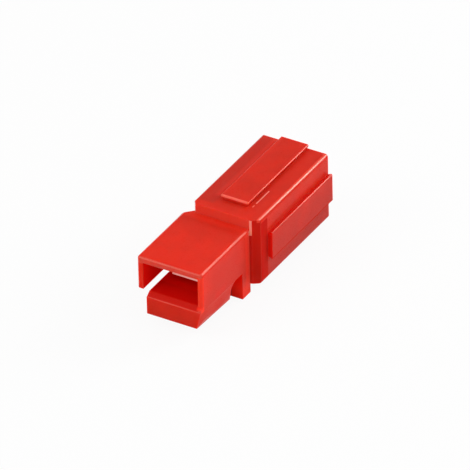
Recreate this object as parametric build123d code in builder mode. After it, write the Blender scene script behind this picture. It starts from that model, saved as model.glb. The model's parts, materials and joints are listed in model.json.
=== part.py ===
"""Genderless power connector: a one-piece moulded housing and its leaf spring.

Millimetres. +X is right, +Y runs from the mating nose to the wire entry, +Z is up.
The origin lies under the middle of the part, level with the underside of its foot.
"""

import os

from build123d import *

# Main body: a square block with dovetails that join it to its neighbours
overall_length = 24.6
body_side = 7.9
body_edge_round = 0.3
corner_length = 0.6
left_corner_width = 0.45
right_ledge = 0.2
ledge_edge_round = 0.5

# Dovetail rails on the top and right, grooves in the left and bottom
rail_width = 3.43
rail_height = 0.5
rail_undercut = 0.22
rail_edge_round = 0.12
rail_setback = 1.99
rail_clearance = 0.06

# Mating nose: a hood over a tongue, closed on the right and slit on the left
nose_length = 10.14
nose_left_overhang = 0.89
nose_right_inset = 1.05
nose_top_drop = 1.16
nose_bottom_rise = 0.16
nose_edge_round = 0.35
flare_before_body = 0.74
flare_depth = 1.25

# Hood
roof_thickness = 0.74
left_wall_thickness = 0.73
left_wall_height = 3.9
right_wall_thickness = 0.5
hood_edge_round = 0.14

# Tongue, with a chamfered tip that reaches past the hood
tongue_thickness = 2.56
tongue_left_inset = 1.33
tip_reach = 0.42
tip_slope_length = 0.62
tip_slope_height = 0.44
tongue_edge_round = 0.16

# Foot across the nose's underside, and the relief and taper in front of it on the right
foot_length = 1.57
foot_drop = 1.2
foot_edge_round = 0.22
relief_length = 2.15
relief_depth = 1.25
relief_height = 2.0
relief_round = 0.9
front_taper = 0.53
rear_taper = 0.22

# Contact chamber, flush with the mouth's right wall, and wire entry
chamber_length = 7.7
wire_bore = 5.2
wire_mouth_chamfer = 0.35

# Retention spring: a flat base held in two slots, and an arm that rises to a free end in the mouth
spring_thickness = 0.25
spring_base_length = 5.0
spring_edge_grip = 0.1
spring_arm_length = 3.6
spring_side_gap = 0.1
spring_end_depth = 3.2
spring_lift = 0.92
spring_bend = 0.9
spring_clearance = 0.08

# Places along Y
tip_y = -overall_length / 2
rear_y = overall_length / 2
hood_front_y = tip_y + tip_reach
slope_end_y = tip_y + tip_slope_length
body_front_y = tip_y + nose_length
corner_end_y = body_front_y + corner_length
rail_front_y = body_front_y + rail_setback
flare_start_y = body_front_y - flare_before_body
flare_end_y = flare_start_y + flare_depth
foot_front_y = body_front_y - foot_length
relief_front_y = foot_front_y - relief_length
chamber_end_y = foot_front_y + chamber_length
spring_rear_y = chamber_end_y - spring_clearance
spring_base_y = spring_rear_y - spring_base_length / 2
spring_end_y = tip_y + spring_end_depth
spring_heel_y = spring_end_y + spring_arm_length

# Places along Z
body_bottom_z = foot_drop
body_axis_z = body_bottom_z + body_side / 2
body_top_z = body_bottom_z + body_side
rail_top_z = body_top_z + rail_height
roof_top_z = body_top_z - nose_top_drop
roof_under_z = roof_top_z - roof_thickness
left_wall_low_z = roof_top_z - left_wall_height
tongue_bottom_z = body_bottom_z + nose_bottom_rise
tongue_top_z = tongue_bottom_z + tongue_thickness
tip_top_z = tongue_top_z - tip_slope_height
relief_top_z = tongue_bottom_z + relief_height
slope_at_hood_z = tip_top_z + tip_slope_height * tip_reach / tip_slope_length
slot_top_z = tongue_top_z + spring_thickness + spring_clearance

# Places along X
body_axis_x = (nose_left_overhang - rail_height) / 2
body_left_x = body_axis_x - body_side / 2
body_right_x = body_axis_x + body_side / 2
rail_side_x = body_right_x + rail_height
nose_left_x = body_left_x - nose_left_overhang
nose_right_x = body_right_x - nose_right_inset
left_wall_inner_x = nose_left_x + left_wall_thickness
right_wall_inner_x = nose_right_x - right_wall_thickness
tongue_left_x = nose_left_x + tongue_left_inset
flare_end_x = nose_left_x + flare_depth
ledge_end_x = nose_right_x + right_ledge
corner_end_x = body_left_x + left_corner_width
chamber_half = right_wall_inner_x - body_axis_x
spring_base_half = chamber_half + spring_edge_grip
spring_arm_half = chamber_half - spring_side_gap
slot_half = spring_base_half + spring_clearance

PLACE_TOLERANCE = 0.02


def edges_at(shape, direction, **place):
    """Return the edges of a shape along one axis whose middle has the given X, Y or Z."""
    return shape.edges().filter_by(direction).filter_by(
        lambda edge: all(
            abs(getattr(edge.center(), axis) - value) < PLACE_TOLERANCE
            for axis, value in place.items()
        )
    )


def window(low, high):
    """Draw a rectangle in the current sketch, from its low corner to its high corner."""
    with Locations(((low[0] + high[0]) / 2, (low[1] + high[1]) / 2)):
        Rectangle(high[0] - low[0], high[1] - low[1])


def rail_outline():
    """Return the outline of a dovetail rail on the body's top side, about the body's axis."""
    face = body_side / 2
    outer = rail_width / 2
    base = outer - rail_undercut
    return [(-base, face), (base, face), (outer, face + rail_height), (-outer, face + rail_height)]


def groove_outline():
    """Return the outline of the groove that takes a rail, about the body's axis."""
    face = body_side / 2
    inner = rail_width / 2 + rail_clearance
    mouth = inner - rail_undercut
    bed = face - rail_height - rail_clearance
    return [(-mouth, face), (mouth, face), (inner, bed), (-inner, bed)]


with BuildPart() as housing:
    # Body block, its front corners cut back towards the nose
    with BuildSketch(Plane.XY.offset(body_bottom_z)):
        with BuildLine():
            Polyline(
                (body_left_x, rear_y),
                (body_left_x, corner_end_y),
                (corner_end_x, body_front_y),
                (ledge_end_x, body_front_y),
                (body_right_x, corner_end_y),
                (body_right_x, rear_y),
                close=True,
            )
        make_face()
    extrude(amount=body_side)
    fillet(edges_at(housing, Axis.Z, X=ledge_end_x, Y=body_front_y), ledge_edge_round)
    fillet(housing.edges().filter_by(Axis.Y), body_edge_round)

    # Nose block, flared on the left where it runs out along the body
    with BuildSketch(Plane.XY.offset(tongue_bottom_z)):
        with BuildLine():
            Polyline(
                (nose_left_x, tip_y),
                (nose_left_x, flare_start_y),
                (flare_end_x, flare_end_y),
                (nose_right_x, flare_end_y),
                (nose_right_x, tip_y),
                close=True,
            )
        make_face()
    extrude(amount=roof_top_z - tongue_bottom_z)

    # The hood stops short of the tongue's tip, which slopes down to its front edge
    with BuildSketch(Plane.YZ.offset(nose_left_x)):
        with BuildLine():
            Polyline(
                (tip_y, tip_top_z),
                (hood_front_y, slope_at_hood_z),
                (hood_front_y, roof_top_z),
                (tip_y, roof_top_z),
                close=True,
            )
        make_face()
    extrude(amount=nose_right_x - nose_left_x, mode=Mode.SUBTRACT)

    # Rounded outer edges of the hood
    hood_edges = (
        edges_at(housing, Axis.Y, X=nose_right_x, Z=roof_top_z)
        + edges_at(housing, Axis.Y, X=nose_left_x, Z=roof_top_z)
        + edges_at(housing, Axis.X, Y=hood_front_y, Z=roof_top_z)
        + edges_at(housing, Axis.Z, X=nose_right_x, Y=hood_front_y)
        + edges_at(housing, Axis.Z, X=nose_left_x, Y=hood_front_y)
    )
    fillet(hood_edges, nose_edge_round)

    # Slit on the left, between the hood's short wall and the tongue
    with BuildSketch(Plane.XZ.offset(-tip_y)):
        window((nose_left_x, tongue_bottom_z), (tongue_left_x, left_wall_low_z))
    extrude(amount=tip_y - foot_front_y, mode=Mode.SUBTRACT)

    # Mouth between the roof and the tongue, with the slope running in under the hood
    with BuildSketch(Plane.XZ.offset(-tip_y)):
        window((left_wall_inner_x, tongue_top_z), (right_wall_inner_x, roof_under_z))
    extrude(amount=tip_y - foot_front_y, mode=Mode.SUBTRACT)
    with BuildSketch(Plane.YZ.offset(left_wall_inner_x)):
        with BuildLine():
            Polyline(
                (hood_front_y, slope_at_hood_z),
                (slope_end_y, tongue_top_z),
                (hood_front_y, tongue_top_z),
                close=True,
            )
        make_face()
    extrude(amount=right_wall_inner_x - left_wall_inner_x, mode=Mode.SUBTRACT)

    # Taper of the nose's lower right side, strongest at the tongue's tip
    for place_y, inset in ((tip_y, front_taper), (foot_front_y, rear_taper)):
        with BuildSketch(Plane.XZ.offset(-place_y)):
            with BuildLine():
                Polyline(
                    (nose_right_x, relief_top_z),
                    (nose_right_x, tongue_bottom_z),
                    (nose_right_x - inset, tongue_bottom_z),
                    close=True,
                )
            make_face()
    loft(mode=Mode.SUBTRACT)

    # Rounded edges of the mouth and the tongue
    fillet(edges_at(housing, Axis.X, Y=hood_front_y, Z=roof_under_z), hood_edge_round)
    fillet(edges_at(housing, Axis.X, Y=tip_y, Z=tip_top_z), tongue_edge_round)
    fillet(edges_at(housing, Axis.X, Y=tip_y, Z=tongue_bottom_z), tongue_edge_round)

    # Foot across the nose's underside, where the mating half stops
    with BuildSketch(Plane.XZ.offset(-body_front_y)):
        window((tongue_left_x, 0), (nose_right_x, relief_top_z))
    extrude(amount=foot_length)
    fillet(housing.faces().sort_by(Axis.Z)[0].edges(), foot_edge_round)

    # Relief in the nose's lower right side, in front of the foot
    with BuildSketch(Plane.YZ.offset(nose_right_x)) as relief:
        window((relief_front_y, tongue_bottom_z), (foot_front_y, relief_top_z))
        fillet(relief.vertices().group_by(Axis.X)[0].sort_by(Axis.Y)[-1], relief_round)
    extrude(amount=-relief_depth, mode=Mode.SUBTRACT)

    # Contact chamber through the body
    with BuildSketch(Plane.XZ.offset(-chamber_end_y)):
        window((body_axis_x - chamber_half, tongue_top_z), (body_axis_x + chamber_half, roof_under_z))
    extrude(amount=chamber_length, mode=Mode.SUBTRACT)

    # Slots along the chamber's floor that take the edges of the spring's base
    with BuildSketch(Plane.XZ.offset(-chamber_end_y)):
        window((body_axis_x - slot_half, tongue_top_z), (body_axis_x + slot_half, slot_top_z))
    extrude(amount=chamber_length, mode=Mode.SUBTRACT)

    # Wire entry in the rear face
    with BuildSketch(Plane.XZ.offset(-rear_y)):
        with Locations((body_axis_x, body_axis_z)):
            Circle(wire_bore / 2)
    extrude(amount=rear_y - chamber_end_y, mode=Mode.SUBTRACT)
    bore_rims = housing.edges().filter_by(GeomType.CIRCLE).group_by(SortBy.RADIUS)[-1]
    chamfer(bore_rims.sort_by(Axis.Y)[-1], wire_mouth_chamfer)

    # Dovetail rails on the top and the right, running to the rear face
    for turn in (0, -90):
        with BuildSketch(Plane.XZ.offset(-rear_y)):
            with Locations((body_axis_x, body_axis_z)):
                Polygon(*rail_outline(), rotation=turn, align=None)
        extrude(amount=rear_y - rail_front_y)
    fillet(edges_at(housing, Axis.X, Y=rail_front_y, Z=rail_top_z), rail_edge_round)
    fillet(edges_at(housing, Axis.Z, X=rail_side_x, Y=rail_front_y), rail_edge_round)
    fillet(edges_at(housing, Axis.Y, Z=rail_top_z), rail_edge_round)
    fillet(edges_at(housing, Axis.Y, X=rail_side_x), rail_edge_round)

    # Matching grooves in the left and the bottom, closed where a neighbour's rail stops
    for turn in (90, 180):
        with BuildSketch(Plane.XZ.offset(-rear_y)):
            with Locations((body_axis_x, body_axis_z)):
                Polygon(*groove_outline(), rotation=turn, align=None)
        extrude(amount=rear_y - rail_front_y + rail_clearance, mode=Mode.SUBTRACT)

housing.part.label = "housing"

with BuildPart() as spring:
    # Flat base, pushed into the two slots from the mouth
    with BuildSketch(Plane.XY.offset(tongue_top_z)):
        with Locations((body_axis_x, spring_base_y)):
            Rectangle(2 * spring_base_half, spring_base_length)
    extrude(amount=spring_thickness)

    # Arm that runs on along the floor and rises to its free end
    with BuildSketch(Plane.YZ.offset(body_axis_x)):
        with BuildLine():
            FilletPolyline(
                (spring_rear_y, tongue_top_z),
                (spring_heel_y, tongue_top_z),
                (spring_end_y, tongue_top_z + spring_lift),
                radius=spring_bend,
            )
            offset(amount=spring_thickness, side=Side.RIGHT)
        make_face()
    extrude(amount=spring_arm_half, both=True)

spring.part.label = "retention_spring"

os.makedirs("parts", exist_ok=True)
export_step(housing.part, "parts/housing.step")
export_step(spring.part, "parts/retention_spring.step")
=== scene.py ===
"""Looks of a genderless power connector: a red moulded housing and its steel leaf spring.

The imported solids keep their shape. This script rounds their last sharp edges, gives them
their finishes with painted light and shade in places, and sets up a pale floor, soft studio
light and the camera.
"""

import json
import logging
import math
from dataclasses import dataclass
from enum import Enum

import bpy
from mathutils import Matrix, Vector


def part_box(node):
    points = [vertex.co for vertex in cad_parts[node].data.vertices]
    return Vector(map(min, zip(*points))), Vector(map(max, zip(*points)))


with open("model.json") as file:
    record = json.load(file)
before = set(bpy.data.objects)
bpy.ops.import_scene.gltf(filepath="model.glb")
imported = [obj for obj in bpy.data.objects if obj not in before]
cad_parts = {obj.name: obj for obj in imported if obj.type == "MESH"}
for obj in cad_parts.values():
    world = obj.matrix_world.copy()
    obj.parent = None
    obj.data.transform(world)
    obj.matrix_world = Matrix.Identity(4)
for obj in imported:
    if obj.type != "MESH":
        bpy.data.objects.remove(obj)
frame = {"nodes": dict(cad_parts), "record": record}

log = logging.getLogger("connector")

MM = 0.001

Colour = tuple[float, float, float]
Point = tuple[float, float, float]
Span = tuple[float, float]

ORIGIN: Point = (0.0, 0.0, 0.0)
EVEN: Point = (1.0, 1.0, 1.0)
ALONG_Y: Point = (0.0, 1.0, 0.0)
WHOLE: Span = (0.0, 1.0)
NOISE_MIDDLE: Span = (0.3, 0.7)
NOISE_ROUGHNESS = 0.55


class Node(Enum):
    """Pieces of the connector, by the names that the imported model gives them."""

    HOUSING = "housing"
    SPRING = "retention_spring"


class Operation(Enum):
    """Sums that a shader node can do, by Blender's names."""

    ABSOLUTE = "ABSOLUTE"
    ADD = "ADD"
    DOT_PRODUCT = "DOT_PRODUCT"
    MAXIMUM = "MAXIMUM"
    MULTIPLY = "MULTIPLY"
    SUBTRACT = "SUBTRACT"


@dataclass(frozen=True)
class Patch:
    """A place on a piece where painted light or shade changes its colour, or where its gloss
    differs.

    Attributes:
        name: What lies there.
        x: From where to where it reaches along X, in millimetres.
        y: The same along Y.
        z: The same along Z.
        tone: The painted light or shade colour there, or None where the colour stays.
        share: How much of that colour shows.
        gloss: How strong the gloss is there, where 1 leaves it as it is.
        fade: Width of the soft border around the place, in millimetres.
    """

    name: str
    x: Span
    y: Span
    z: Span
    tone: Colour | None = None
    share: float = 1.0
    gloss: float = 1.0
    fade: float = 0.04


@dataclass(frozen=True)
class Grain:
    """Fine unevenness of a surface.

    Attributes:
        per_mm: How many blobs lie along a millimetre.
        detail: How many finer layers are added.
        roughness: The lowest and the highest roughness that it gives.
        height: Depth of its bumps, in millimetres.
        strength: How strongly the bumps show.
        stretch: Factors along X, Y and Z, where a small one draws the blobs out into lines.
    """

    per_mm: float
    detail: float
    roughness: Span
    height: float
    strength: float
    stretch: Point = EVEN


class ShaderSheet:
    """A material's node sheet, with short ways to add nodes and join them."""

    def __init__(self, name: str) -> None:
        """Start a material that has only its output node.

        Args:
            name: The material's name.
        """
        self.material = bpy.data.materials.new(name)
        self.material.use_nodes = True
        self.tree = self.material.node_tree
        self.tree.nodes.clear()
        self.output = self.add("ShaderNodeOutputMaterial")

    def add(self, kind: str, **inputs: object) -> bpy.types.Node:
        """Add a node and set its inputs.

        Args:
            kind: Blender's name for the node type.
            **inputs: Values for its input sockets, with underscores for spaces.

        Returns:
            The new node.
        """
        node = self.tree.nodes.new(kind)
        for socket, value in inputs.items():
            node.inputs[socket.replace("_", " ")].default_value = value
        return node

    def join(self, source: bpy.types.NodeSocket, target: bpy.types.NodeSocket) -> None:
        """Link an output socket to an input socket."""
        self.tree.links.new(source, target)

    def place(self, stretch: Point = EVEN) -> bpy.types.NodeSocket:
        """Give the surface's own coordinates, in millimetres.

        Args:
            stretch: Factors along X, Y and Z for a pattern that runs one way.

        Returns:
            A vector socket for a texture.
        """
        coordinates = self.add("ShaderNodeTexCoord")
        mapping = self.add("ShaderNodeMapping", Scale=[factor / MM for factor in stretch])
        self.join(coordinates.outputs["Object"], mapping.inputs["Vector"])
        return mapping.outputs["Vector"]

    def noise(
        self, vector: bpy.types.NodeSocket, per_mm: float, detail: float
    ) -> bpy.types.NodeSocket:
        """Add a noise texture.

        Args:
            vector: Coordinates in millimetres.
            per_mm: How many blobs lie along a millimetre.
            detail: How many finer layers are added.

        Returns:
            Its value socket, around 0.5.
        """
        texture = self.add(
            "ShaderNodeTexNoise", Scale=per_mm, Detail=detail, Roughness=NOISE_ROUGHNESS
        )
        self.join(vector, texture.inputs["Vector"])
        return texture.outputs["Fac"]

    def spread(
        self,
        source: bpy.types.NodeSocket,
        low: float,
        high: float,
        reach: Span = NOISE_MIDDLE,
    ) -> bpy.types.NodeSocket:
        """Map a value, by default the middle of a noise, to a range of values.

        Args:
            source: The value's socket.
            low: Result where the value is low.
            high: Result where the value is high.
            reach: The values that count as low and as high.

        Returns:
            The mapped value's socket.
        """
        ranged = self.add(
            "ShaderNodeMapRange", From_Min=reach[0], From_Max=reach[1], To_Min=low, To_Max=high
        )
        self.join(source, ranged.inputs["Value"])
        return ranged.outputs["Result"]

    def combine(
        self, operation: Operation, *values: bpy.types.NodeSocket
    ) -> bpy.types.NodeSocket:
        """Work out one value from two or more.

        Args:
            operation: How two values make one.
            *values: Sockets of the values.

        Returns:
            The result's socket.
        """
        result, *others = values
        for value in others:
            node = self.add("ShaderNodeMath")
            node.operation = operation.value
            self.join(result, node.inputs[0])
            self.join(value, node.inputs[1])
            result = node.outputs["Value"]
        return result

    def reckon(
        self, operation: Operation, vector: bpy.types.NodeSocket, other: Point = ORIGIN
    ) -> bpy.types.Node:
        """Do a sum with a vector.

        Args:
            operation: What to do.
            vector: The vector's socket.
            other: The second vector, for a sum that needs one.

        Returns:
            The node, which gives a vector or a value.
        """
        node = self.add("ShaderNodeVectorMath")
        node.operation = operation.value
        node.inputs[1].default_value = other
        self.join(vector, node.inputs[0])
        return node

    def sizes(self, vector: bpy.types.NodeSocket) -> list[bpy.types.NodeSocket]:
        """Give the sizes of a vector's X, Y and Z parts, without their signs.

        Args:
            vector: The vector's socket.

        Returns:
            Three value sockets.
        """
        positive = self.reckon(Operation.ABSOLUTE, vector)
        parts = self.add("ShaderNodeSeparateXYZ")
        self.join(positive.outputs["Vector"], parts.inputs["Vector"])
        return list(parts.outputs)

    def lean(self, vector: bpy.types.NodeSocket, slope: Point) -> bpy.types.NodeSocket:
        """Give a value that grows along one direction.

        Args:
            vector: Coordinates in millimetres.
            slope: How much it grows per millimetre along X, Y and Z.

        Returns:
            The value's socket, 0 at the origin.
        """
        return self.reckon(Operation.DOT_PRODUCT, vector, slope).outputs["Value"]

    def roundness(self) -> bpy.types.NodeSocket:
        """Tell rounded edges from the flat faces, which face along the part's axes.

        Returns:
            A value socket: 0 on a face along X, Y or Z, and 0.29 halfway between two of them.
        """
        coordinates = self.add("ShaderNodeTexCoord")
        largest = self.combine(Operation.MAXIMUM, *self.sizes(coordinates.outputs["Normal"]))
        return self.spread(largest, 1.0, 0.0, WHOLE)

    def within(self, vector: bpy.types.NodeSocket, patch: Patch) -> bpy.types.NodeSocket:
        """Tell the surface inside a patch from the rest.

        Args:
            vector: Coordinates in millimetres.
            patch: The patch.

        Returns:
            A value socket: 1 inside, falling to 0 over the soft border.
        """
        spans = (patch.x, patch.y, patch.z)
        middle = [(low + high) / 2 for low, high in spans]
        halves = [(high - low) / 2 for low, high in spans]
        offset = self.reckon(Operation.SUBTRACT, vector, middle)
        offset.label = patch.name
        inside = [
            self.spread(size, 1.0, 0.0, (half, half + patch.fade))
            for size, half in zip(self.sizes(offset.outputs["Vector"]), halves)
        ]
        return self.combine(Operation.MULTIPLY, *inside)

    def tint(
        self,
        base: bpy.types.NodeSocket | Colour,
        colour: Colour,
        share: bpy.types.NodeSocket,
    ) -> bpy.types.NodeSocket:
        """Lay a colour over another one.

        Args:
            base: The colour underneath, or its socket.
            colour: The colour on top.
            share: How much of it shows.

        Returns:
            The mixed colour's socket.
        """
        mix = self.add("ShaderNodeMix")
        mix.data_type = "RGBA"
        mix.inputs["B"].default_value = (*colour, 1.0)
        self.join(share, mix.inputs["Factor"])
        if isinstance(base, tuple):
            mix.inputs["A"].default_value = (*base, 1.0)
        else:
            self.join(base, mix.inputs["A"])
        return mix.outputs["Result"]

    def roughen(self, shader: bpy.types.Node, grain: Grain) -> None:
        """Give a shader the roughness and the bumps of a grain.

        Args:
            shader: The shader's node.
            grain: The grain.
        """
        blobs = self.noise(self.place(grain.stretch), grain.per_mm, grain.detail)
        self.join(self.spread(blobs, *grain.roughness), shader.inputs["Roughness"])
        bump = self.add("ShaderNodeBump", Strength=grain.strength, Distance=grain.height * MM)
        self.join(blobs, bump.inputs["Height"])
        self.join(bump.outputs["Normal"], shader.inputs["Normal"])

    def surface(self, shader: bpy.types.NodeSocket) -> bpy.types.Material:
        """Show a shader on the surface, and give the material."""
        self.join(shader, self.output.inputs["Surface"])
        return self.material


@dataclass(frozen=True)
class RedPolycarbonate:
    """Red moulded plastic with satin faces, glossy rounded edges, some depth, and painted
    light and shade in places.

    Attributes:
        pale: The plastic's colour at the nose.
        shade_and_mottle_tone: The darker colour of the painted shade that it turns to, along
            its length and low on its sides, and of its random mottle.
        along: Between which places along Y it turns darker, in millimetres.
        along_share: How much of the darker colour it has at the second place.
        low_share: How much of the darker colour it would have at the part's origin.
        low_slope: How that share changes per millimetre along X, Y and Z.
        mottle: How much the darker colour's share wavers.
        mottle_per_mm: How many clouds of that lie along a millimetre.
        mottle_detail: How many finer layers the clouds have.
        face_specular: Strength of the flat faces' gloss.
        edge_specular: Strength of the rounded edges' gloss.
        edge_reach: The roundness at which that gloss starts, and at which it is full.
        gloss_tint: Colour of the gloss.
        refraction: The plastic's index of refraction.
        depth_share: How much of the light goes through the plastic's depth.
        depth: How far red, green and blue light go in it, in millimetres.
        grain: Unevenness of the moulded surface.
        patches: Places with painted light, shade or highlights, or a different gloss, where
            later ones lie over earlier ones.
    """

    pale: Colour = (0.78, 0.027, 0.012)
    shade_and_mottle_tone: Colour = (0.46, 0.022, 0.013)
    along: Span = (-10.0, 2.0)
    along_share: float = 0.35
    low_share: float = 1.02
    low_slope: Point = (0.0, 0.032, -0.115)
    mottle: float = 0.12
    mottle_per_mm: float = 0.5
    mottle_detail: float = 3.0
    face_specular: float = 0.06
    edge_specular: float = 0.55
    edge_reach: Span = (0.05, 0.14)
    gloss_tint: Colour = (1.0, 0.82, 0.64)
    refraction: float = 1.5
    depth_share: float = 1.0
    depth: Point = (0.5, 0.06, 0.03)
    grain: Grain = Grain(
        per_mm=9.0, detail=2.0, roughness=(0.26, 0.34), height=0.004, strength=0.12
    )
    patches: tuple[Patch, ...] = (
        # The body's top, left of its rail: painted shade, and painted light beside the rail
        # Painted shade: the top left of the rail, where the rail's shadow falls
        Patch(
            "left margin", x=(-4.2, -1.95), y=(-1.0, 13.0), z=(3.0, 9.12),
            tone=(0.58, 0.027, 0.016), fade=0.45,
        ),
        # Painted light: a lighter strip beside the top rail, lit like the rail's top
        Patch(
            "rail side", x=(-2.0, -1.4), y=(0.5, 13.0), z=(9.0, 9.58),
            tone=(0.74, 0.036, 0.021), fade=0.5,
        ),
        # The mouth and its rim: painted glow, painted shade and painted highlights
        # Painted glow: the inside of the mouth is brighter, stronger red, standing in for
        # light through the thin walls
        Patch(
            "mouth", x=(-3.97, 2.65), y=(-11.7, -3.0), z=(3.87, 7.25),
            tone=(0.96, 0.008, 0.004), gloss=0.3,
        ),
        # Painted shade: the tongue's top under the roof is darker
        Patch(
            "tongue top", x=(-3.5, 2.65), y=(-11.7, -3.0), z=(3.8, 3.96),
            tone=(0.68, 0.005, 0.003), gloss=0.3,
        ),
        # Painted glow: brighter red farther back on the tongue's top
        Patch(
            "tongue back", x=(-3.4, 2.6), y=(-8.9, -7.5), z=(3.85, 3.95),
            tone=(0.98, 0.006, 0.003), fade=0.8,
        ),
        # Painted shade: the lead-in under the roof's front is darker
        Patch(
            "lead-in", x=(-3.4, 2.7), y=(-12.2, -11.6), z=(3.5, 3.93),
            tone=(0.68, 0.014, 0.008), gloss=0.1,
        ),
        # Painted highlight: a pale sheen across the hood's rounded front
        Patch(
            "hood front", x=(-4.7, 3.2), y=(-12.0, -11.8), z=(7.2, 7.8),
            tone=(0.72, 0.07, 0.045), fade=0.1,
        ),
        # Painted light: the right wall's rounded front edge is lighter
        Patch(
            "front edge", x=(2.6, 3.2), y=(-12.0, -11.6), z=(3.4, 7.4),
            tone=(0.95, 0.05, 0.024), gloss=0.3, fade=0.2,
        ),
        # The nose's right side: painted shade and painted light
        # Painted shade: the nose's side darker towards its rear
        Patch(
            "nose side", x=(3.0, 3.2), y=(-9.5, -5.0), z=(4.2, 6.5),
            tone=(0.64, 0.024, 0.012), share=0.7, fade=1.6,
        ),
        # Painted light: lifts the painted shade on the taper towards the tone of the face
        # above
        Patch(
            "taper", x=(2.4, 3.2), y=(-12.4, -6.2), z=(1.0, 2.9),
            tone=(0.68, 0.025, 0.012), share=0.6, gloss=0.3, fade=0.4,
        ),
        Patch("crease", x=(2.9, 3.2), y=(-12.0, -5.9), z=(3.12, 3.26), gloss=0.45, fade=0.1),
        # Painted glow: brighter, stronger red inside the relief pocket and on the foot's front
        Patch(
            "pocket", x=(1.8, 3.0), y=(-5.95, -3.68), z=(-0.1, 3.4),
            tone=(0.86, 0.014, 0.006), gloss=0.3,
        ),
        # Painted light: lifts the painted shade on the foot's side
        Patch(
            "foot", x=(3.0, 3.2), y=(-3.66, -2.1), z=(0.0, 1.2),
            tone=(0.88, 0.034, 0.015), gloss=0.6, fade=1.2,
        ),
        # Where the nose meets the body: painted light, painted shade and a painted highlight
        # Painted light: the nose's top lighter where it meets the step
        Patch(
            "roof end", x=(-4.5, 3.0), y=(-2.8, -2.1), z=(7.8, 8.0),
            tone=(0.9, 0.038, 0.018), share=0.8, fade=0.6,
        ),
        # Painted light: the step's face lighter, as lit as the tops beside it
        Patch(
            "step", x=(-3.4, 3.05), y=(-2.22, -2.1), z=(7.97, 9.07),
            tone=(0.82, 0.064, 0.038),
        ),
        # Painted light: a lighter band at the rear end of the nose's side
        Patch(
            "side rear", x=(2.9, 3.1), y=(-2.85, -2.3), z=(1.0, 7.6),
            tone=(0.92, 0.05, 0.028), share=0.6, fade=0.3,
        ),
        # Painted shade: the ledge beside the nose is darker
        Patch(
            "ledge", x=(3.1, 3.36), y=(-2.2, -2.0), z=(1.3, 7.2),
            tone=(0.64, 0.02, 0.012), gloss=0.0,
        ),
        # Painted highlight: a bright bar on the ledge's rounded edge, from the body's top down
        Patch(
            "ledge highlight", x=(3.1, 3.33), y=(-2.3, -1.98), z=(7.2, 9.0),
            tone=(1.0, 0.3, 0.22),
        ),
        # The body's right side: painted shade and a painted highlight
        # Painted shade: the corner cut beside the nose is darker
        Patch(
            "corner", x=(3.4, 4.08), y=(-2.2, -1.6), z=(1.0, 9.0),
            tone=(0.6, 0.008, 0.006), share=0.5, gloss=0.0,
        ),
        # Painted shade: the rail's shadow on the side in front of the rail
        Patch(
            "front strip", x=(4.08, 4.2), y=(-1.55, -0.3), z=(1.2, 8.6),
            tone=(0.52, 0.008, 0.005), gloss=0.1,
        ),
        # Painted shade: the body's right side darker from the rail down, near its front
        Patch(
            "right side", x=(4.1, 4.8), y=(0.0, 4.0), z=(1.0, 6.7),
            tone=(0.5, 0.024, 0.014), share=0.45, fade=2.0,
        ),
        # Painted highlight: a pale line along the body's top right edge
        Patch(
            "long edge", x=(3.8, 4.2), y=(-2.0, 13.0), z=(8.75, 9.2),
            tone=(0.95, 0.12, 0.08), share=0.5, gloss=1.8,
        ),
        # Painted shade: the lower half of that edge's round keeps the side's darker tone
        Patch(
            "edge foot", x=(4.06, 4.2), y=(-2.0, 13.0), z=(8.7, 8.99),
            tone=(0.66, 0.026, 0.014), gloss=0.15,
        ),
        # The rails: painted highlights, painted light and painted shade
        # Painted highlight: a pale line on the top rail's front edge
        Patch(
            "rail end", x=(-1.6, 2.0), y=(-0.22, 0.02), z=(9.42, 9.7),
            tone=(1.0, 0.16, 0.11), share=0.8, gloss=1.5,
        ),
        # Painted light: the side rail's front face, in shade, is painted a brighter red
        Patch(
            "side rail end", x=(4.15, 4.6), y=(-0.24, -0.12), z=(3.4, 6.9),
            tone=(0.82, 0.012, 0.006), gloss=0.2,
        ),
        # Painted light: lifts the shade in the side rail's undercut with a brighter red
        Patch(
            "side rail shelf", x=(4.1, 4.54), y=(-0.1, 13.0), z=(6.6, 6.84),
            tone=(0.74, 0.022, 0.011), fade=0.06,
        ),
        # Painted shade: the side rail's lower edge is darker
        Patch(
            "side rail foot", x=(4.4, 4.75), y=(-0.2, 13.0), z=(3.2, 3.7),
            tone=(0.5, 0.024, 0.014), share=0.5, gloss=0.0,
        ),
        # A painted highlight: a pale line beside the top rail, and its end
        Patch(
            "rail foot glint", x=(2.19, 2.29), y=(0.8, 3.4), z=(9.0, 9.15),
            tone=(1.0, 0.33, 0.27), share=0.85,
        ),
        Patch(
            "rail foot glint end", x=(2.19, 2.27), y=(0.05, 0.4), z=(9.0, 9.15),
            tone=(1.0, 0.3, 0.24), share=0.7,
        ),
    )

    def base_tone(
        self, sheet: ShaderSheet, place: bpy.types.NodeSocket
    ) -> bpy.types.NodeSocket:
        """Colour the plastic as a whole, with painted shade towards the rear and low down, and
        a random mottle.

        Args:
            sheet: The material's node sheet.
            place: Coordinates in millimetres.

        Returns:
            The colour's socket.
        """
        along = sheet.spread(sheet.lean(place, ALONG_Y), 0.0, self.along_share, self.along)
        fall = sheet.lean(place, self.low_slope)
        low = sheet.spread(fall, 0.0, 1.0, (-self.low_share, 1.0 - self.low_share))
        # Painted shade: the darker colour's share grows towards the rear and low down
        depth = sheet.combine(Operation.MAXIMUM, along, low)
        clouds = sheet.noise(place, self.mottle_per_mm, self.mottle_detail)
        mottle = sheet.spread(clouds, -self.mottle, self.mottle)
        return sheet.tint(self.pale, self.shade_and_mottle_tone, sheet.combine(Operation.ADD, depth, mottle))

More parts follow.
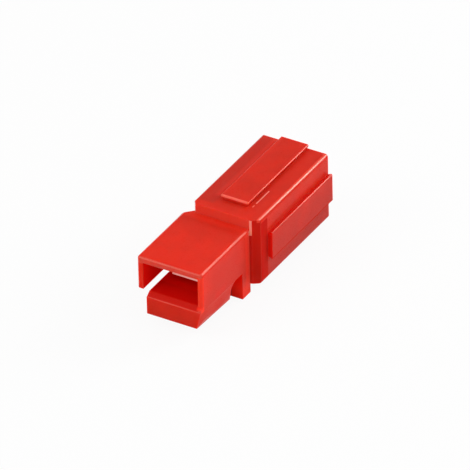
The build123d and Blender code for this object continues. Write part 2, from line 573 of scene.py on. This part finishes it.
    def material(self) -> bpy.types.Material:
        """Make the plastic's material."""
        sheet = ShaderSheet("red_polycarbonate")
        shader = sheet.add(
            "ShaderNodeBsdfPrincipled",
            IOR=self.refraction,
            Specular_Tint=(*self.gloss_tint, 1.0),
            Subsurface_Weight=self.depth_share,
            Subsurface_Radius=self.depth,
            Subsurface_Scale=MM,
        )
        place = sheet.place()
        tone = self.base_tone(sheet, place)
        gloss = sheet.spread(
            sheet.roundness(), self.face_specular, self.edge_specular, self.edge_reach
        )
        # Patch tones paint light, shade and highlights; patch gloss scales the gloss
        for patch in self.patches:
            inside = sheet.within(place, patch)
            if patch.tone is not None:
                share = sheet.spread(inside, 0.0, patch.share, WHOLE)
                tone = sheet.tint(tone, patch.tone, share)
            if patch.gloss != 1.0:
                factor = sheet.spread(inside, 1.0, patch.gloss, WHOLE)
                gloss = sheet.combine(Operation.MULTIPLY, gloss, factor)
        sheet.join(tone, shader.inputs["Base Color"])
        sheet.join(gloss, shader.inputs["Specular IOR Level"])
        sheet.roughen(shader, self.grain)
        return sheet.surface(shader.outputs["BSDF"])


@dataclass(frozen=True)
class RolledSteel:
    """Stainless strip with fine lines along its rolling direction, and a painted reflection on
    its free end.

    Attributes:
        colour: The steel's colour.
        end_reflection: The strip's end in the mouth, with a painted reflection of the red
            plastic around it.
        lines: Unevenness that rolling left.
    """

    colour: Colour = (0.62, 0.62, 0.61)
    end_reflection: Patch = Patch(
        "free end", x=(-3.0, 3.0), y=(-9.2, -8.9), z=(2.0, 8.0), tone=(1.0, 0.47, 0.42)
    )
    lines: Grain = Grain(
        per_mm=14.0,
        detail=2.0,
        roughness=(0.3, 0.5),
        height=0.003,
        strength=0.25,
        stretch=(1.0, 0.04, 1.0),
    )

    def material(self) -> bpy.types.Material:
        """Make the steel's material."""
        sheet = ShaderSheet("rolled_steel")
        shader = sheet.add("ShaderNodeBsdfPrincipled", Metallic=1.0)
        # Painted reflection: the free end is tinted with the plastic's red
        inside = sheet.within(sheet.place(), self.end_reflection)
        tone = sheet.tint(self.colour, self.end_reflection.tone, inside)
        sheet.join(tone, shader.inputs["Base Color"])
        sheet.roughen(shader, self.lines)
        return sheet.surface(shader.outputs["BSDF"])


@dataclass
class ConnectorPiece:
    """One solid of the connector, with its edge rounding and its finish.

    Attributes:
        node: Which piece it is.
        finish: The finish that its surface gets.
        edge_radius: Width of the small round on each sharp edge, in millimetres.
        edge_segments: How many strips make up a round.
        sharp_angle: Edges that turn by more than this get the round, in degrees.
        flat_angle: Triangles that differ by less than this make one face, in degrees.
        weld_gap: Corners nearer than this are joined, in millimetres.
    """

    node: Node
    finish: RedPolycarbonate | RolledSteel
    edge_radius: float
    edge_segments: int = 3
    sharp_angle: float = 38.0
    flat_angle: float = 0.4
    weld_gap: float = 0.0002

    @property
    def shape(self) -> bpy.types.Object:
        """The piece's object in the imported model."""
        return frame["nodes"][self.node.value]

    def round_edges(self) -> None:
        """Join the solid's triangles into faces and round the edges between them."""
        weld = self.shape.modifiers.new("join_triangles", "WELD")
        weld.merge_threshold = self.weld_gap * MM
        flats = self.shape.modifiers.new("flat_faces", "DECIMATE")
        flats.decimate_type = "DISSOLVE"
        flats.angle_limit = math.radians(self.flat_angle)
        bevel = self.shape.modifiers.new("small_rounds", "BEVEL")
        bevel.width = self.edge_radius * MM
        bevel.segments = self.edge_segments
        bevel.limit_method = "ANGLE"
        bevel.angle_limit = math.radians(self.sharp_angle)
        bevel.use_clamp_overlap = True
        bevel.harden_normals = True

    def dress(self) -> None:
        """Put the finish on the piece."""
        material = self.finish.material()
        self.shape.data.materials.clear()
        self.shape.data.materials.append(material)

    def build(self) -> None:
        """Round and dress the piece, and report it."""
        self.round_edges()
        self.dress()
        low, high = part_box(self.node.value)
        log.info("%s: %s mm", self.node.value, [round(side / MM, 2) for side in high - low])


@dataclass(frozen=True)
class SoftBox:
    """A rectangular lamp that faces the connector.

    Attributes:
        name: The lamp's name.
        azimuth: Direction it stands in, seen from above, as for direction().
        elevation: Its height above the floor as an angle, in degrees.
        side: Length of its level sides, in metres.
        level: How bright a white surface that faces it gets, where 1 is white.
        height: How many times as tall as wide it is.
        distance: From the connector's middle, in metres.
        gloss_only: Whether it shows in reflections alone.
    """

    name: str
    azimuth: float
    elevation: float
    side: float
    level: float
    height: float = 1.0
    distance: float = 0.25
    gloss_only: bool = False

    def build(self, aim: Vector) -> None:
        """Make the lamp.

        Args:
            aim: The point that it faces.
        """
        away = direction(self.azimuth, self.elevation)
        bpy.ops.object.light_add(type="AREA", location=aim + away * self.distance)
        lamp = bpy.context.object
        lamp.name = self.name
        lamp.rotation_mode = "QUATERNION"
        lamp.rotation_quaternion = away.to_track_quat("Z", "Y")
        lamp.data.shape = "RECTANGLE"
        lamp.data.size = self.side
        lamp.data.size_y = self.side * self.height
        lamp.visible_diffuse = not self.gloss_only
        # A small lamp's power lights a white surface by one part in (pi * distance) squared
        lamp.data.energy = self.level * (math.pi * self.distance) ** 2


@dataclass(frozen=True)
class Studio:
    """A pale floor with soft light around it.

    Attributes:
        sky: Brightness of the even light from all around.
        lamps: The soft lamps.
        glow: Brightness of the floor's plain white, where 1 is white.
        floor_side: Length of the floor's sides, in metres.
        floor_colour: How much light the floor throws back.
        whiteness: Share of plain white in the floor as the camera and reflections see it.
    """

    sky: float = 0.58
    lamps: tuple[SoftBox, ...] = (
        SoftBox("key_lamp", azimuth=142.0, elevation=27.0, side=0.13, level=0.48),
        SoftBox("front_lamp", azimuth=322.0, elevation=36.0, side=0.15, level=0.30),
        SoftBox("side_lamp", azimuth=88.0, elevation=32.0, side=0.16, level=0.10),
        SoftBox(
            "edge_lamp",
            azimuth=158.0,
            elevation=40.0,
            side=0.14,
            level=1.2,
            height=3.0,
            gloss_only=True,
        ),
    )
    glow: float = 1.0
    floor_side: float = 4.0
    floor_colour: float = 0.86
    whiteness: float = 0.92

    def build_floor(self) -> None:
        """Lay the floor under the connector."""
        bpy.ops.mesh.primitive_plane_add(size=self.floor_side)
        floor = bpy.context.object
        floor.name = "floor"
        sheet = ShaderSheet("pale_floor")
        matte = sheet.add("ShaderNodeBsdfDiffuse", Color=(*(self.floor_colour,) * 3, 1.0))
        white = sheet.add("ShaderNodeEmission", Strength=self.glow)
        rays = sheet.add("ShaderNodeLightPath").outputs
        seen = sheet.combine(
            Operation.MAXIMUM,
            rays["Is Camera Ray"],
            rays["Is Glossy Ray"],
            rays["Is Transmission Ray"],
        )
        mix = sheet.add("ShaderNodeMixShader")
        sheet.join(sheet.spread(seen, 0.0, self.whiteness, WHOLE), mix.inputs["Fac"])
        sheet.join(matte.outputs["BSDF"], mix.inputs[1])
        sheet.join(white.outputs["Emission"], mix.inputs[2])
        floor.data.materials.append(sheet.surface(mix.outputs["Shader"]))

    def build_sky(self) -> None:
        """Set the even light from all around."""
        world = bpy.data.worlds.new("studio")
        world.use_nodes = True
        background = world.node_tree.nodes["Background"]
        background.inputs["Color"].default_value = (1.0, 1.0, 1.0, 1.0)
        background.inputs["Strength"].default_value = self.sky
        bpy.context.scene.world = world

    def build(self, aim: Vector) -> None:
        """Set up floor, sky and lamps.

        Args:
            aim: The point that the lamps face.
        """
        self.build_floor()
        self.build_sky()
        for lamp in self.lamps:
            lamp.build(aim)


@dataclass(frozen=True)
class Viewpoint:
    """The photograph's camera.

    Attributes:
        azimuth: Direction it stands in, seen from above, as for direction().
        elevation: Its angle above the floor, in degrees.
        roll: Its turn about the viewing line, in degrees.
        distance: From the point that it aims at, in metres.
        pixels_per_mm: Scale of the picture at that point.
        picture_side: Width and height of the picture, in pixels.
        aim: Where that point appears in the picture, in pixels.
        clip_ratio: How many times nearer and farther than that point it can see.
    """

    azimuth: float = 30.979
    elevation: float = 33.957
    roll: float = -1.317
    distance: float = 1.1
    pixels_per_mm: float = 9.68
    picture_side: int = 470
    aim: tuple[float, float] = (236.05, 233.91)
    clip_ratio: float = 100.0

    def build(self, point: Vector) -> None:
        """Make the camera and look through it.

        Args:
            point: The point of the connector that it aims at.
        """
        away = direction(self.azimuth, self.elevation)
        level = direction(self.azimuth + 90.0, 0.0)
        upright = away.cross(level)
        turn = math.radians(self.roll)
        across = level * math.cos(turn) + upright * math.sin(turn)
        up = upright * math.cos(turn) - level * math.sin(turn)
        middle = self.picture_side / 2
        right_shift = (self.aim[0] - middle) / self.pixels_per_mm * MM
        up_shift = (middle - self.aim[1]) / self.pixels_per_mm * MM
        eye = point + away * self.distance - across * right_shift - up * up_shift

        bpy.ops.object.camera_add()
        camera = bpy.context.object
        camera.name = "camera"
        turned = Matrix((across, up, away)).transposed().to_4x4()
        camera.matrix_world = Matrix.Translation(eye) @ turned
        picture_width = self.picture_side / self.pixels_per_mm * MM
        camera.data.lens = camera.data.sensor_width * self.distance / picture_width
        camera.data.clip_start = self.distance / self.clip_ratio
        camera.data.clip_end = self.distance * self.clip_ratio
        bpy.context.scene.camera = camera


def direction(azimuth: float, elevation: float) -> Vector:
    """Give the direction from the connector towards a camera or lamp.

    Args:
        azimuth: Seen from above, in degrees: 0 is in front of the nose, 90 on the right.
        elevation: Above the floor, in degrees.

    Returns:
        A vector of length 1.
    """
    turn = math.radians(azimuth)
    rise = math.radians(elevation)
    return Vector((
        math.sin(turn) * math.cos(rise),
        -math.cos(turn) * math.cos(rise),
        math.sin(rise),
    ))


def main() -> None:
    """Build the connector's looks and the studio around it."""
    logging.basicConfig(level=logging.INFO, format="%(message)s")
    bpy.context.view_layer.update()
    bpy.ops.object.select_all(action="DESELECT")
    bpy.context.scene.view_settings.view_transform = "Standard"

    ConnectorPiece(Node.HOUSING, RedPolycarbonate(), edge_radius=0.06).build()
    ConnectorPiece(Node.SPRING, RolledSteel(), edge_radius=0.03).build()

    entry = next(mount for mount in frame["record"]["mounts"] if mount["name"] == "wire_entry")
    aim = Vector((entry["pos_m"][0], 0.0, entry["pos_m"][2]))
    Studio().build(aim)
    Viewpoint().build(aim)


if __name__ == "__main__":
    main()
